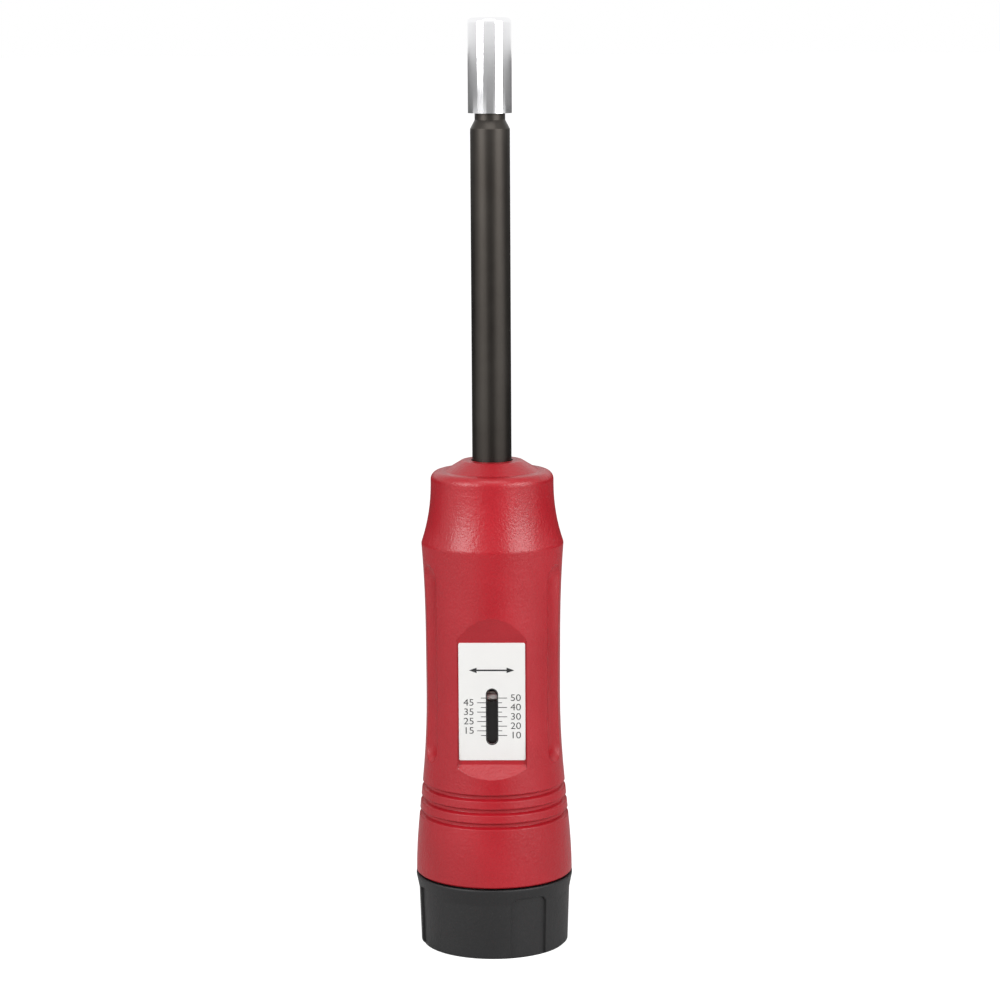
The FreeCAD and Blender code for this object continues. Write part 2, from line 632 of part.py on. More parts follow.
def clutch_balls():
    ball = Part.makeSphere(BALL_RADIUS, Vector(BALL_CIRCLE, 0, BALL_HEIGHT))
    return Part.makeCompound(around(ball, BALL_COUNT))


def clutch_plate():
    blank = outline_turned((
        (SPIGOT_RADIUS + SPIGOT_CLEARANCE, PLATE_BOSS_BOTTOM), (PLATE_BOSS_RADIUS, PLATE_BOSS_BOTTOM),
        (PLATE_BOSS_RADIUS, PLATE_BOTTOM), (CARRIER_RADIUS, PLATE_BOTTOM),
        (CARRIER_RADIUS, PLATE_TOP), (SPIGOT_RADIUS + SPIGOT_CLEARANCE, PLATE_TOP),
    ))
    reach = keyway(PLATE_KEY_REACH, PLATE_KEY_WIDTH, PLATE_BOTTOM, PLATE_TOP)
    key = reach.cut(disc(PLATE_BOSS_RADIUS, PLATE_BOTTOM, PLATE_TOP))
    return blank.fuse(around(key, 2)).cut(around(ball_notch(), NOTCH_COUNT))


def on_coil(radius, segment, height):
    """A point on the spring's coil, counted in segments from its start."""
    angle = math.radians(SPRING_START_AZIMUTH + 360 * segment / SPRING_SEGMENTS)
    return Vector(radius * math.cos(angle), radius * math.sin(angle), height)


def main_spring():
    """A compression spring whose first and last turns are closed and ground flat."""
    low = SEAT_TOP + WIRE_RADIUS - SPRING_GROUND
    high = PLATE_BOTTOM - WIRE_RADIUS + SPRING_GROUND
    mean = SPRING_OUTER_RADIUS - WIRE_RADIUS
    active = SPRING_TURNS - 2
    open_pitch = (high - low - 2 * SPRING_CLOSED_PITCH) / active
    pitches = [SPRING_CLOSED_PITCH, *[open_pitch] * active, SPRING_CLOSED_PITCH]
    points = [on_coil(mean, 0, low)]
    for pitch in pitches:
        for _ in range(SPRING_SEGMENTS):
            points.append(on_coil(mean, len(points), points[-1].z + pitch / SPRING_SEGMENTS))
    along = (points[1] - points[0]).normalize()
    across = along.cross(Vector(0, 0, 1)).normalize() * WIRE_RADIUS
    upward = across.cross(along)
    turns = [2 * math.pi * side / WIRE_SIDES for side in range(WIRE_SIDES + 1)]
    section = Part.makePolygon([points[0] + across * math.cos(t) + upward * math.sin(t) for t in turns])
    wire = Part.makePolygon(points).makePipeShell([section], True, False, 1)
    return wire.common(disc(BORE_RADIUS, SEAT_TOP, PLATE_BOTTOM))


# Pointer nut

def pointer_carrier():
    """The black sleeve round the nut, with the key that shows in the window."""
    half = POINTER_WIDTH / 2
    face = -POINTER_REACH
    behind = -(CARRIER_RADIUS - POINTER_WIDTH / 2)
    tongue = -(SPRING_OUTER_RADIUS + KEYWAY_CLEARANCE)
    bottom = POINTER_TOP - POINTER_LENGTH
    body = disc(CARRIER_RADIUS, CARRIER_BOTTOM, CARRIER_TOP).fuse([
        block((-half, half), (face, behind), bottom, CARRIER_TOP),
        block((-half, half), (face, tongue), CARRIER_TOP, POINTER_TOP),
    ])
    flange = disc(NUT_FLANGE_RADIUS + ASSEMBLED_GAP, CARRIER_TOP - NUT_FLANGE, CARRIER_TOP)
    return body.cut([disc(NUT_RADIUS + ASSEMBLED_GAP, CARRIER_BOTTOM, CARRIER_TOP), flange])


def adjusting_nut():
    flange = disc(NUT_FLANGE_RADIUS, CARRIER_TOP - NUT_FLANGE, CARRIER_TOP)
    barrel = disc(NUT_RADIUS, CARRIER_TOP - NUT_LENGTH, CARRIER_TOP)
    thread = disc(SCREW_RADIUS + THREAD_CLEARANCE, CARRIER_TOP - NUT_LENGTH, CARRIER_TOP)
    return barrel.fuse(flange).cut(thread)


def spring_seat():
    return ring(SPRING_OUTER_RADIUS, SEAT_BORE, CARRIER_TOP, SEAT_TOP)


def adjusting_screw():
    bar = outline_turned((
        (0, PLUG_FACE), (JOURNAL_RADIUS, PLUG_FACE), (JOURNAL_RADIUS, COLLAR_BOTTOM),
        (COLLAR_DISC_RADIUS, COLLAR_BOTTOM), (COLLAR_DISC_RADIUS, COLLAR_TOP),
        (SCREW_RADIUS, COLLAR_TOP), (SCREW_RADIUS, SCREW_TOP - SCREW_CHAMFER),
        (SCREW_RADIUS - SCREW_CHAMFER, SCREW_TOP), (0, SCREW_TOP),
    ))
    drive = hexagon(DRIVE_ACROSS_FLATS, SCREW_END, PLUG_FACE)
    hole = disc(RETAINER_RADIUS + ASSEMBLED_GAP, SCREW_END, SCREW_END + RETAINER_LENGTH)
    return bar.fuse(drive).cut(hole)


def knob_screw():
    """The screw in the adjusting screw's end whose head stops the knob when it's pulled out."""
    head = disc(HEAD_RADIUS, HEAD_BOTTOM, SCREW_END)
    shank = disc(RETAINER_RADIUS, SCREW_END, SCREW_END + RETAINER_LENGTH)
    socket = hexagon(RETAINER_SOCKET, HEAD_BOTTOM, HEAD_BOTTOM + RETAINER_SOCKET_DEPTH)
    return head.fuse(shank).cut(socket)


# Knob

def panel_tool():
    """The shallow round-cornered recess in the knob's skirt, on the +X side."""
    plate = rounded_plate(PANEL_WIDTH, -PANEL_TOP, PANEL_TOP, PANEL_CORNER, HUB_RADIUS, 2 * KNOB_RIM_RADIUS)
    growth = (KNOB_WAIST_RADIUS - KNOB_BASE_RADIUS) / KNOB_WAIST_HEIGHT
    floor = KNOB_BASE_RADIUS - PANEL_DEPTH
    core = cone(floor - growth * PANEL_TOP, floor + growth * KNOB_HEIGHT, -PANEL_TOP, KNOB_HEIGHT)
    return put(plate.cut(core), turn=-90)


def knob():
    cover_top = COVER_RECESS + COVER_THICKNESS
    blank = outline_turned((
        (0, 0), (KNOB_BASE_RADIUS, 0), (KNOB_WAIST_RADIUS, KNOB_WAIST_HEIGHT),
        (KNOB_RIM_RADIUS, KNOB_HEIGHT - KNOB_RIM_BAND), (KNOB_RIM_RADIUS, KNOB_HEIGHT),
        (LOCK_SEAT_RADIUS, KNOB_HEIGHT), (LOCK_SEAT_RADIUS, LOCK_RING_BOTTOM),
        (SKIRT_RADIUS, LOCK_RING_BOTTOM), (SKIRT_RADIUS, KNOB_FLOOR), (HUB_RADIUS, KNOB_FLOOR),
        (HUB_RADIUS, HUB_TOP), (0, HUB_TOP),
    ))
    blank = blank.makeChamfer(KNOB_BASE_EDGE, circles(blank, KNOB_BASE_RADIUS, 0))
    half = RIB_THICKNESS / 2
    rib = block((HUB_RADIUS - half, SKIRT_RADIUS + half), (-half, half), KNOB_FLOOR - half, RIB_TOP)
    tools = [
        hexagon(DRIVE_ACROSS_FLATS + DRIVE_CLEARANCE, HUB_LEDGE, HUB_TOP),
        disc(HEAD_WELL_RADIUS, cover_top, HUB_LEDGE),
        disc(COVER_RADIUS + ASSEMBLED_GAP, 0, cover_top),
    ]
    for panel in range(PANEL_COUNT):
        tools.append(put(panel_tool(), turn=PANEL_AZIMUTH - 90 + 360 * panel / PANEL_COUNT))
    return blank.fuse(around(rib, RIB_COUNT)).cut(tools)


def lock_ring():
    """The toothed ring pressed into the knob's skirt."""
    points = []
    for corner in range(2 * LOCK_TEETH):
        radius = LOCK_ROOT_RADIUS - (corner % 2) * LOCK_TOOTH_DEPTH
        angle = math.radians(LEAF_TIP_AZIMUTH + 180 * corner / LOCK_TEETH)
        points.append(Vector(radius * math.cos(angle), radius * math.sin(angle), LOCK_RING_BOTTOM))
    teeth = polygon_face(points).extrude(Vector(0, 0, LOCK_RING_HEIGHT))
    return disc(LOCK_SEAT_RADIUS - ASSEMBLED_GAP, LOCK_RING_BOTTOM, LOCK_RING_TOP).cut(teeth)


def knob_cover():
    return disc(COVER_RADIUS, COVER_RECESS, COVER_RECESS + COVER_THICKNESS)


PIECES = (
    handle, scale_label, front_bush, clutch_thrust_washer, end_plug, screw_thrust_washer,
    collar_circlip, lock_spring, lock_spring_screw, shaft, bit_sleeve, bit_magnet, drive_disc,
    drive_pin, clutch_balls, clutch_plate, main_spring, pointer_carrier, adjusting_nut,
    spring_seat, adjusting_screw, knob_screw, knob, lock_ring, knob_cover,
)

os.makedirs("parts", exist_ok=True)
for piece in PIECES:
    piece().exportStep(f"parts/{piece.__name__}.step")
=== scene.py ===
# %% [markdown]
# # A torque screwdriver
#
# The tool stands on its black knob. Above the knob is a red moulded handle with a small scale,
# and a long dark shaft carries a bright sleeve for screwdriver bits. The solid pieces come
# ready-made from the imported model, so this lesson is about their finishes, the printed scale,
# the coil spring that shows in the window, and the light.

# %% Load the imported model
import json
import math

import bpy
from mathutils import Matrix, Vector


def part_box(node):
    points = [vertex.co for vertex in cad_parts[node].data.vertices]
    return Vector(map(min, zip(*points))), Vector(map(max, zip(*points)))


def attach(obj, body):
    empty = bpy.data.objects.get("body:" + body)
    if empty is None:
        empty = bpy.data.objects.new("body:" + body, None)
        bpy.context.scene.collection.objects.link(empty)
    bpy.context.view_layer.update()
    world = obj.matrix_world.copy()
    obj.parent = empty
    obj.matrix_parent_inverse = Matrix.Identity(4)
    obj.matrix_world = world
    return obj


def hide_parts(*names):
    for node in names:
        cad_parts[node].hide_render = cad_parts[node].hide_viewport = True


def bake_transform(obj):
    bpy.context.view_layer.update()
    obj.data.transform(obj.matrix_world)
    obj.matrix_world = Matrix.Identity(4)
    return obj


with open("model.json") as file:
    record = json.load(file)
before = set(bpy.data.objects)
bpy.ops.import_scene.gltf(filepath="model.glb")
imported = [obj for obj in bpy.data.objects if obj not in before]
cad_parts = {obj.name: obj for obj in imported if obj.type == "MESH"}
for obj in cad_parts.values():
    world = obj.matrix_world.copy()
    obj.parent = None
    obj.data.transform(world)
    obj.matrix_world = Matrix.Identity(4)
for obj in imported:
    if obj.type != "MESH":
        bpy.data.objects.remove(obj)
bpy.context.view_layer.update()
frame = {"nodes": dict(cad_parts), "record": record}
MM = 0.001
print("pieces from the packed model:", len(frame["nodes"]))

# %% [markdown]
# ## Sizes that come from the model
#
# Nothing here is placed by eye where the model already knows the place. The label says where
# the print goes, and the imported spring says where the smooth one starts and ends.

# %% Read the places of the label and the spring
label_low, label_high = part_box("scale_label")
spring_low, spring_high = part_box("main_spring")
PRINT_FACE = label_low.y
TOP_MARK = label_high.z - 13.5 * MM
MARK_STEP = 1.15 * MM
MARK_COUNT = 9
WINDOW_HALF = 1.225 * MM
WINDOW_END = 2.1 * MM
print("label face at", round(PRINT_FACE / MM, 2), "mm; top mark at", round(TOP_MARK / MM, 2), "mm")

# %% [markdown]
# ## Small helpers for node trees
#
# A node tree is easier to read when adding a node and joining its sockets take one line.

# %% A helper that adds a node and sets its sockets
def add(tree, kind, inputs=None, **settings):
    node = tree.nodes.new(kind)
    for name, value in settings.items():
        setattr(node, name, value)
    for key, value in (inputs or {}).items():
        if isinstance(value, bpy.types.NodeSocket):
            tree.links.new(value, node.inputs[key])
        else:
            node.inputs[key].default_value = value
    return node


def maths(tree, operation, first, second=0.0, third=0.0):
    return add(tree, "ShaderNodeMath", {0: first, 1: second, 2: third}, operation=operation).outputs[0]


def socket(tree, name, way, kind, value=None):
    made = tree.interface.new_socket(name, in_out=way, socket_type="NodeSocket" + kind)
    if value is not None:
        made.default_value = value


# %% [markdown]
# ## Shared effects
#
# Moulded plastic is never one flat colour. It has a fine pebble from the mould, and its colour
# and gloss drift a little across the surface. Both are node groups, so each finish can place
# them with its own sizes. A group puts out only colours, values and heights.

# %% Group: a colour that drifts between two shades
drift = bpy.data.node_groups.new("colour drift", "ShaderNodeTree")
socket(drift, "Light", "INPUT", "Color", (0.8, 0.8, 0.8, 1))
socket(drift, "Dark", "INPUT", "Color", (0.5, 0.5, 0.5, 1))
socket(drift, "Scale", "INPUT", "Float", 60.0)
socket(drift, "Low Gloss", "INPUT", "Float", 0.5)
socket(drift, "High Gloss", "INPUT", "Float", 0.4)
socket(drift, "Color", "OUTPUT", "Color")
socket(drift, "Roughness", "OUTPUT", "Float")
given = add(drift, "NodeGroupInput")
place = add(drift, "ShaderNodeTexCoord").outputs["Object"]
cloud = add(drift, "ShaderNodeTexNoise", {"Vector": place, "Scale": given.outputs["Scale"], "Detail": 4.0})
spread = add(drift, "ShaderNodeMapRange", {"Value": cloud.outputs[0], 1: 0.3, 2: 0.7, 3: 0.0, 4: 1.0})
shade = add(drift, "ShaderNodeMix", data_type="RGBA")
drift.links.new(spread.outputs[0], shade.inputs[0])
drift.links.new(given.outputs["Dark"], shade.inputs[6])
drift.links.new(given.outputs["Light"], shade.inputs[7])
gloss = add(drift, "ShaderNodeMapRange", {"Value": cloud.outputs[0], 1: 0.3, 2: 0.7,
                                          3: given.outputs["Low Gloss"], 4: given.outputs["High Gloss"]})
add(drift, "NodeGroupOutput", {"Color": shade.outputs[2], "Roughness": gloss.outputs[0]})
print("group:", drift.name)

# %% Group: the fine pebble of a moulded skin
pebble = bpy.data.node_groups.new("mould pebble", "ShaderNodeTree")
socket(pebble, "Scale", "INPUT", "Float", 2500.0)
socket(pebble, "Height", "OUTPUT", "Float")
given = add(pebble, "NodeGroupInput")
place = add(pebble, "ShaderNodeTexCoord").outputs["Object"]
fine = add(pebble, "ShaderNodeTexNoise", {"Vector": place, "Scale": given.outputs["Scale"], "Detail": 2.0})
broad = maths(pebble, "MULTIPLY", given.outputs["Scale"], 0.31)
coarse = add(pebble, "ShaderNodeTexNoise", {"Vector": place, "Scale": broad, "Detail": 1.0})
both = maths(pebble, "MULTIPLY_ADD", coarse.outputs[0], 0.6, fine.outputs[0])
add(pebble, "NodeGroupOutput", {"Height": both})
print("group:", pebble.name)

# %% Group: turning marks round the long axis
turning = bpy.data.node_groups.new("turning marks", "ShaderNodeTree")
socket(turning, "Pitch", "INPUT", "Float", 9000.0)
socket(turning, "Height", "OUTPUT", "Float")
given = add(turning, "NodeGroupInput")
place = add(turning, "ShaderNodeTexCoord").outputs["Object"]
parts = add(turning, "ShaderNodeSeparateXYZ", {0: place})
along = maths(turning, "MULTIPLY", parts.outputs["Z"], given.outputs["Pitch"])
across = [maths(turning, "MULTIPLY", parts.outputs[k], 90.0) for k in ("X", "Y")]
stretched = add(turning, "ShaderNodeCombineXYZ", {0: across[0], 1: across[1], 2: along})
lines = add(turning, "ShaderNodeTexNoise", {"Vector": stretched.outputs[0], "Scale": 1.0, "Detail": 3.0})
add(turning, "NodeGroupOutput", {"Height": lines.outputs[0]})
print("group:", turning.name)

# %% [markdown]
# ## Finishes
#
# One function builds a finish: a drifting colour and gloss, and a height for its small relief.
# Moulded and turned edges are never razor sharp, so a Bevel node rounds how they catch light.
# Numbers that are the same all over, such as metalness, are set on the shader itself.

# %% A finish from two shades, a gloss range and a relief
def finish_of(name, light, dark, gloss, scale=60.0, relief=None, fineness=2500.0, depth=0.02,
              edge=0.0, **shader):
    """depth and edge are in mm: how deep the relief is, and how round sharp edges look."""
    made = bpy.data.materials.new(name)
    made.use_nodes = True
    tree = made.node_tree
    surface = tree.nodes["Principled BSDF"]
    colour = add(tree, "ShaderNodeGroup", node_tree=drift)
    colour.inputs["Light"].default_value = (*light, 1)
    colour.inputs["Dark"].default_value = (*dark, 1)
    colour.inputs["Scale"].default_value = scale
    colour.inputs["Low Gloss"].default_value, colour.inputs["High Gloss"].default_value = gloss
    tree.links.new(colour.outputs["Color"], surface.inputs["Base Color"])
    tree.links.new(colour.outputs["Roughness"], surface.inputs["Roughness"])
    if relief:
        skin = add(tree, "ShaderNodeGroup", node_tree=relief)
        skin.inputs[0].default_value = fineness
        bump = add(tree, "ShaderNodeBump", {"Height": skin.outputs[0], "Distance": depth * MM})
        bump.inputs["Strength"].default_value = 1.0
        if edge:
            rounded = add(tree, "ShaderNodeBevel", {"Radius": edge * MM}, samples=6)
            tree.links.new(rounded.outputs[0], bump.inputs["Normal"])
        tree.links.new(bump.outputs[0], surface.inputs["Normal"])
    for key, value in shader.items():
        surface.inputs[key.replace("_", " ")].default_value = value
    return made


METAL = {"Metallic": 1.0}
finishes = {
    "red_plastic": finish_of("red satin plastic", (0.42, 0.007, 0.016), (0.36, 0.005, 0.012), (0.3, 0.38),
                             relief=pebble, fineness=1700.0, depth=0.09, edge=0.35),
    "label_film": finish_of("white scale film", (0.75, 0.745, 0.73), (0.71, 0.705, 0.69), (0.45, 0.55),
                            relief=pebble, fineness=1200.0, depth=0.004),
    "black_plastic": finish_of("black satin plastic", (0.0095, 0.0095, 0.01), (0.007, 0.007, 0.0075),
                               (0.4, 0.48), relief=pebble, fineness=1700.0, depth=0.06, edge=0.6),
    "pointer_black": finish_of("black pointer", (0.006, 0.0055, 0.005), (0.004, 0.0038, 0.0035), (0.3, 0.36),
                               relief=pebble, fineness=1500.0, depth=0.01),
    "shaft_steel": finish_of("dark shaft steel", (0.054, 0.049, 0.044), (0.042, 0.037, 0.033), (0.34, 0.42),
                             relief=turning, depth=0.004, edge=0.2, **METAL),
    "chrome_plate": finish_of("bright plated steel", (0.94, 0.94, 0.95), (0.9, 0.9, 0.91), (0.07, 0.1),
                              relief=turning, depth=0.0006, **METAL),
    "bright_steel": finish_of("bright steel", (0.6, 0.6, 0.59), (0.52, 0.52, 0.51), (0.25, 0.35),
                              relief=turning, depth=0.003, **METAL),
    "hard_steel": finish_of("hardened steel", (0.3, 0.3, 0.3), (0.24, 0.24, 0.24), (0.3, 0.42),
                            relief=turning, depth=0.003, **METAL),
    "spring_steel": finish_of("pale spring wire", (0.86, 0.83, 0.8), (0.78, 0.75, 0.72), (0.35, 0.45),
                              relief=pebble, fineness=3000.0, depth=0.004, **METAL),
    "bronze": finish_of("bearing bronze", (0.5, 0.31, 0.13), (0.43, 0.26, 0.1), (0.35, 0.45),
                        relief=turning, depth=0.003, **METAL),
    "yellow_brass": finish_of("turned brass", (0.66, 0.47, 0.18), (0.58, 0.41, 0.15), (0.28, 0.38),
                              relief=turning, depth=0.003, **METAL),
    "magnet": finish_of("plated magnet", (0.4, 0.4, 0.41), (0.34, 0.34, 0.35), (0.25, 0.35),
                        relief=pebble, fineness=1500.0, depth=0.003, **METAL),
}
ink = finish_of("black scale ink", (0.02, 0.02, 0.021), (0.012, 0.012, 0.013), (0.45, 0.55),
                relief=pebble, fineness=1200.0, depth=0.002)
print("finishes:", len(finishes) + 1)

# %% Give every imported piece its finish
for entry in frame["record"]["subparts"]:
    mesh = frame["nodes"][entry["node"]].data
    mesh.materials.clear()
    mesh.materials.append(finishes[entry["material_slot"]])

# %% [markdown]
# ## Geometry Nodes for what repeats
#
# A tree is built once with named inputs. The helper below runs it on an empty mesh and keeps
# the result as a plain mesh, so nothing live is left when a piece starts to ride on a body.

# %% A helper that starts a tree, and one that turns its result into a piece
def geometry_tree(name, sizes):
    tree = bpy.data.node_groups.new(name, "GeometryNodeTree")
    for label, kind, value in sizes:
        socket(tree, label, "INPUT", kind, value)
    socket(tree, "Material", "INPUT", "Material")
    socket(tree, "Geometry", "OUTPUT", "Geometry")
    return tree, add(tree, "NodeGroupInput").outputs


def close_tree(tree, geometry, material):
    real = add(tree, "GeometryNodeRealizeInstances", {0: geometry})
    coloured = add(tree, "GeometryNodeSetMaterial", {"Geometry": real.outputs[0], "Material": material})
    add(tree, "NodeGroupOutput", {0: coloured.outputs[0]})


def piece_from(tree, name, **values):
    holder = bpy.data.objects.new(name, bpy.data.meshes.new(name))
    bpy.context.scene.collection.objects.link(holder)
    live = holder.modifiers.new("tree", "NODES")
    live.node_group = tree
    for item in tree.interface.items_tree:
        if item.in_out == "INPUT" and item.name in values:
            live[item.identifier] = values[item.name]
    graph = bpy.context.evaluated_depsgraph_get()
    plain = bpy.data.meshes.new_from_object(holder.evaluated_get(graph))
    holder.modifiers.remove(live)
    holder.data = plain
    print(name, "has", len(plain.polygons), "faces")
    return holder


# %% [markdown]
# ## The marks of the scale
#
# Nine short lines stand on each side of the window, one for every five units. They alternate
# in length, so that the tens are easy to find on the right and the fives on the left. A line
# of points with a thin box on each is all it takes, and the index says which length it gets.

# %% Build the tree for one side's marks
marks, size = geometry_tree("scale marks", [
    ("Marks", "Int", MARK_COUNT), ("Step", "Float", MARK_STEP), ("Top", "Float", 0.06),
    ("Start", "Float", 0.002), ("Tens", "Float", 0.001), ("Fives", "Float", 0.001),
    ("Thickness", "Float", 0.0002), ("Face", "Float", 0.0), ("Side", "Float", 1.0)])
down = add(marks, "ShaderNodeCombineXYZ", {2: maths(marks, "MULTIPLY", size["Step"], -1.0)})
first = add(marks, "ShaderNodeCombineXYZ", {1: size["Face"], 2: size["Top"]})
points = add(marks, "GeometryNodeMeshLine", {"Count": size["Marks"], "Start Location": first.outputs[0],
                                             "Offset": down.outputs[0]})
index = add(marks, "GeometryNodeInputIndex").outputs[0]
odd = maths(marks, "MODULO", index, 2.0)
length = add(marks, "ShaderNodeMapRange", {"Value": odd, 3: size["Tens"], 4: size["Fives"]}).outputs[0]
middle = maths(marks, "MULTIPLY_ADD", length, 0.5, size["Start"])
shift = add(marks, "ShaderNodeCombineXYZ", {0: maths(marks, "MULTIPLY", middle, size["Side"])})
moved = add(marks, "GeometryNodeSetPosition", {"Geometry": points.outputs[0], "Offset": shift.outputs[0]})
bar = add(marks, "GeometryNodeMeshCube", {"Size": (1.0, 0.00003, 1.0)})
stretch = add(marks, "ShaderNodeCombineXYZ", {0: length, 1: 1.0, 2: size["Thickness"]})
on_points = add(marks, "GeometryNodeInstanceOnPoints", {
    "Points": moved.outputs[0], "Instance": bar.outputs[0], "Scale": stretch.outputs[0]})
close_tree(marks, on_points.outputs[0], size["Material"])

# %% Make both sides and let them ride on the housing
shared = {"Top": TOP_MARK, "Start": WINDOW_HALF + 0.2 * MM, "Thickness": 0.17 * MM,
          "Face": PRINT_FACE, "Material": ink}
right_marks = piece_from(marks, "marks_right", Side=1.0, Tens=2.2 * MM, Fives=1.0 * MM, **shared)
left_marks = piece_from(marks, "marks_left", Side=-1.0, Tens=1.25 * MM, Fives=2.15 * MM, **shared)
for piece in (right_marks, left_marks):
    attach(piece, "housing")

# %% [markdown]
# ## The numbers, the arrow and the window's outline
#
# The numbers are text turned into mesh, then stood up against the label. The arrow and the
# outline are flat shapes with a hair's breadth of thickness, as printed ink has.

# %% Stand a flat mesh up on the label
def printed(name, mesh):
    """mesh lies in XY, in metres from the label's middle line, and is stood up on its face."""
    mesh.transform(Matrix.Translation((0, PRINT_FACE - 0.00001, 0)) @ Matrix.Rotation(math.pi / 2, 4, "X"))
    mesh.materials.clear()
    mesh.materials.append(ink)
    piece = bpy.data.objects.new(name, mesh)
    bpy.context.scene.collection.objects.link(piece)
    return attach(piece, "housing")


# %% Write one column of numbers
DIGIT_SIZE = 2.35 * MM
DIGIT_STRETCH = 1.12


def number_column(name, numbers, middle, first_mark):
    column = bpy.data.meshes.new(name)
    vertices, faces = [], []
    for place, number in enumerate(numbers):
        text = bpy.data.curves.new(name, "FONT")
        text.body, text.size, text.extrude, text.offset = str(number), DIGIT_SIZE, 0.00001, -0.00001
        text.align_x, text.align_y = "CENTER", "CENTER"
        holder = bpy.data.objects.new(name, text)
        bpy.context.scene.collection.objects.link(holder)
        glyphs = bpy.data.meshes.new_from_object(holder.evaluated_get(bpy.context.evaluated_depsgraph_get()))
        height = TOP_MARK - (first_mark + 2 * place) * MARK_STEP
        start = len(vertices)
        vertices += [(v.co.x * DIGIT_STRETCH + middle, v.co.y + height, v.co.z) for v in glyphs.vertices]
        faces += [[start + i for i in p.vertices] for p in glyphs.polygons]
        bpy.data.objects.remove(holder)
    column.from_pydata(vertices, [], faces)
    print(name, numbers)
    return printed(name, column)


tens = number_column("numbers_tens", (50, 40, 30, 20, 10), 5.7 * MM, 0)
fives = number_column("numbers_fives", (45, 35, 25, 15), -5.6 * MM, 1)

# %% Draw a flat shape, given by its outlines, with a hair's thickness
def flat_shape(name, *outlines):
    curve = bpy.data.curves.new(name, "CURVE")
    curve.dimensions, curve.fill_mode, curve.extrude = "2D", "BOTH", 0.00001
    for outline in outlines:
        line = curve.splines.new("POLY")
        line.points.add(len(outline) - 1)
        for point, (x, y) in zip(line.points, outline):
            point.co = (x, y, 0, 1)
        line.use_cyclic_u = True
    holder = bpy.data.objects.new(name, curve)
    bpy.context.scene.collection.objects.link(holder)
    mesh = bpy.data.meshes.new_from_object(holder.evaluated_get(bpy.context.evaluated_depsgraph_get()))
    bpy.data.objects.remove(holder)
    return printed(name, mesh)


def window_outline(half, low, high):
    """A slot's outline with round ends."""
    def bend(middle, steps):
        angles = [t * math.pi / 24 for t in steps]
        return [(half * math.cos(angle), middle + half * math.sin(angle)) for angle in angles]
    return bend(high - half, range(25)) + bend(low + half, range(24, 49))


window_low = TOP_MARK - (MARK_COUNT - 1) * MARK_STEP - WINDOW_END
window_high = TOP_MARK + WINDOW_END
rim = 0.26 * MM
outline = flat_shape("window_outline",
                     window_outline(WINDOW_HALF + rim, window_low - rim, window_high + rim),
                     window_outline(WINDOW_HALF, window_low, window_high))

# %% Draw the arrow with two heads
ARROW_HEIGHT = label_high.z - 6.7 * MM
head, half_head, line_half = 1.85 * MM, 0.66 * MM, 0.19 * MM
left, right = -5.5 * MM, 5.4 * MM
corners = [(left, 0), (left + head, half_head), (left + head, line_half), (right - head, line_half),
           (right - head, half_head), (right, 0), (right - head, -half_head), (right - head, -line_half),
           (left + head, -line_half), (left + head, -half_head)]
arrow = flat_shape("scale_arrow", [(x, y + ARROW_HEIGHT) for x, y in corners])

# %% [markdown]
# ## The main spring
#
# The imported spring is faceted to stay light. A smooth one is a spiral whose first and last
# turns are closed, with its ends ground flat. A curve with a round section follows that rule,
# so the tree needs only the pitch of each part. It stands between the pointer nut and the
# notched plate.

# %% Build the tree for a coil with closed, ground ends
coil, size = geometry_tree("ground coil", [
    ("Turns", "Float", 5.0), ("Radius", "Float", 0.0105), ("Wire", "Float", 0.0015),
    ("Start Angle", "Float", 0.0), ("Bottom", "Float", 0.0), ("Top", "Float", 0.01),
    ("Closed Pitch", "Float", 0.0033), ("Ground", "Float", 0.00045)])
strand = add(coil, "GeometryNodeCurvePrimitiveLine", {"Start": (0, 0, 0), "End": (0, 0, 1)})
fine_strand = add(coil, "GeometryNodeResampleCurve", {"Curve": strand.outputs[0], "Count": 241})
turns = maths(coil, "MULTIPLY", add(coil, "GeometryNodeSplineParameter").outputs["Factor"], size["Turns"])
angle = maths(coil, "MULTIPLY_ADD", turns, 2 * math.pi, size["Start Angle"])
inset = maths(coil, "SUBTRACT", size["Wire"], size["Ground"])
low = maths(coil, "ADD", size["Bottom"], inset)
high = maths(coil, "SUBTRACT", size["Top"], inset)
first_turn = maths(coil, "MULTIPLY", maths(coil, "MINIMUM", turns, 1.0), size["Closed Pitch"])
before_last = maths(coil, "SUBTRACT", size["Turns"], 1.0)
last_turn = maths(coil, "MULTIPLY", maths(coil, "MAXIMUM", maths(coil, "SUBTRACT", turns, before_last), 0.0),
                  size["Closed Pitch"])
open_span = maths(coil, "SUBTRACT", maths(coil, "SUBTRACT", high, low),
                  maths(coil, "MULTIPLY", size["Closed Pitch"], 2.0))
open_share = add(coil, "ShaderNodeMapRange", {"Value": turns, 1: 1.0, 2: before_last}).outputs[0]
open_rise = maths(coil, "MULTIPLY", open_share, open_span)
rise = maths(coil, "ADD", maths(coil, "ADD", low, first_turn), maths(coil, "ADD", open_rise, last_turn))
path = add(coil, "ShaderNodeCombineXYZ", {
    0: maths(coil, "MULTIPLY", maths(coil, "COSINE", angle), size["Radius"]),
    1: maths(coil, "MULTIPLY", maths(coil, "SINE", angle), size["Radius"]), 2: rise})
bent = add(coil, "GeometryNodeSetPosition", {"Geometry": fine_strand.outputs[0], "Position": path.outputs[0]})
section = add(coil, "GeometryNodeCurvePrimitiveCircle", {"Resolution": 16, "Radius": size["Wire"]})
wire = add(coil, "GeometryNodeCurveToMesh", {"Curve": bent.outputs[0], "Profile Curve": section.outputs[0],
                                             "Fill Caps": True})
spot = add(coil, "ShaderNodeSeparateXYZ", {0: add(coil, "GeometryNodeInputPosition").outputs[0]}).outputs
